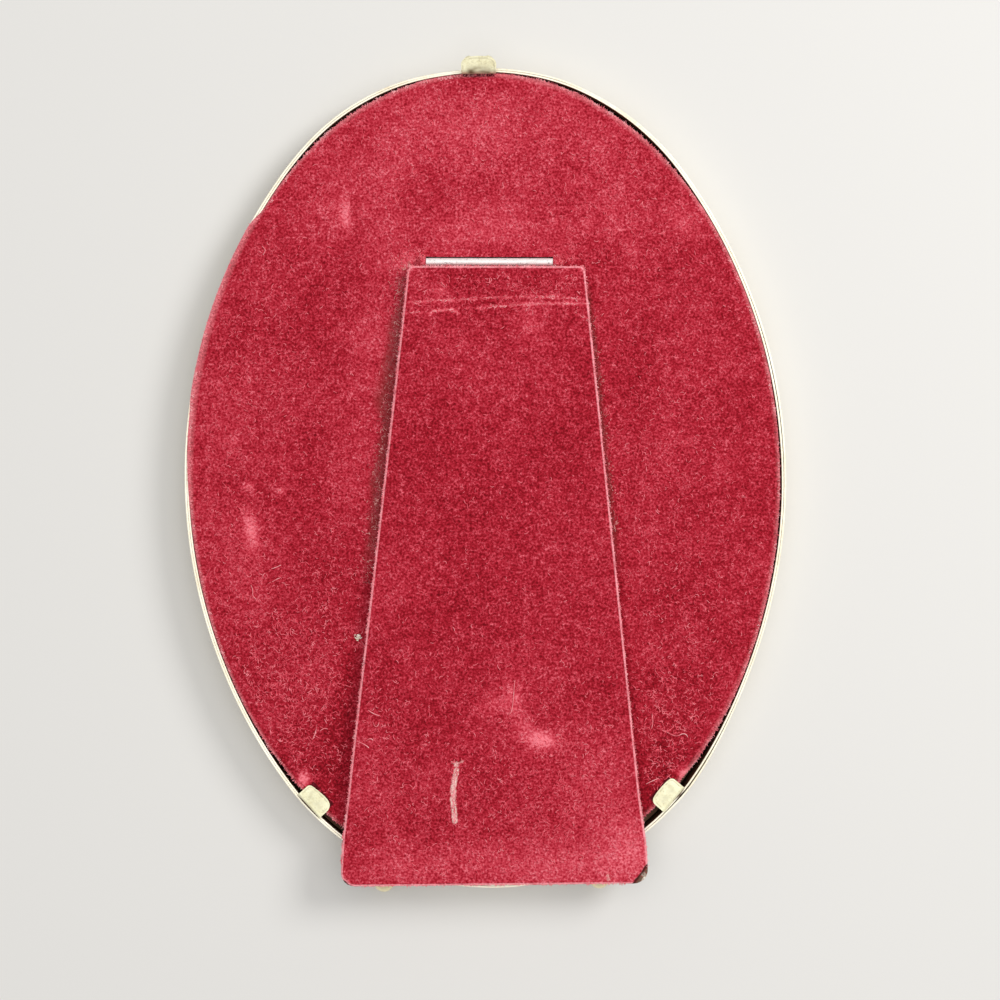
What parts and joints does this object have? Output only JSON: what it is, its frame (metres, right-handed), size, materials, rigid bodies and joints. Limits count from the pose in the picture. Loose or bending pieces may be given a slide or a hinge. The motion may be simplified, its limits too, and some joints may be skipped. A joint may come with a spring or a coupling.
{
  "type": "oval picture frame",
  "caption": "Oval brass photo frame lying on its front, with bend tabs, ball feet and a velvet easel back whose strut swings on a knuckle hinge with a stop.",
  "frame": {"origin": "bottom centre of the whole frame's box as it lies on its front", "axes": "+Z out of the velvet back, +Y along the oval's length to the top tab, +X to the right seen from the back"},
  "size_m": [0.134, 0.1864, 0.0118],
  "materials": {
    "brass_front": "satin, lightly tarnished",
    "brass_rim": "worn satin",
    "brass_tab": "worn satin",
    "brass_foot": "polished, lightly worn",
    "glass": "clear",
    "picture_paper": "matte, bare",
    "packing_card": "matte, aged",
    "lining_paper": "matte",
    "black_board": "matte",
    "crimson_velvet": "short pile velvet",
    "dark_steel": "tarnished",
    "rivet_metal": "dull",
    "tinned_steel": "tinned, satin",
    "strut_lining_paper": "matte"
  },
  "bodies": {
    "frame": {"front_moulding": "brass_front", "outer_wall": "brass_rim", "inner_band": "brass_rim", "left_foot": "brass_foot", "right_foot": "brass_foot", "glass": "glass", "picture_card": "picture_paper", "packing_card": "packing_card", "back_lining": "lining_paper", "back_board": "black_board", "back_velvet": "crimson_velvet", "hinge_back_leaf": "dark_steel", "hinge_back_rivets": "rivet_metal", "hinge_pin": "rivet_metal"},
    "strut": {"hinge_strut_leaf": "tinned_steel", "hinge_strut_rivets": "rivet_metal", "strut_board": "black_board", "strut_lining": "strut_lining_paper", "strut_velvet": "crimson_velvet"},
    "top_tab": {"top_tab": "brass_tab"},
    "left_tab": {"left_tab": "brass_tab"},
    "right_tab": {"right_tab": "brass_tab"}
  },
  "joints": [
    {"name": "strut_hinge", "type": "hinge", "parent": "frame", "child": "strut", "pos_m": [0.0017, 0.04745, 0.01], "axis": [-0.9998, 0.0175, 0], "range_deg": [0, 30]},
    {"name": "top_tab_bend", "type": "hinge", "parent": "frame", "child": "top_tab", "pos_m": [0, 0.08969, 0.0092], "axis": [1, 0, 0], "range_deg": [0, 85]},
    {"name": "left_tab_bend", "type": "hinge", "parent": "frame", "child": "left_tab", "pos_m": [-0.04044, -0.07248, 0.0092], "axis": [0.66, -0.7513, 0], "range_deg": [0, 110]},
    {"name": "right_tab_bend", "type": "hinge", "parent": "frame", "child": "right_tab", "pos_m": [0.04044, -0.07248, 0.0092], "axis": [0.66, 0.7513, 0], "range_deg": [0, 110]}
  ]
}
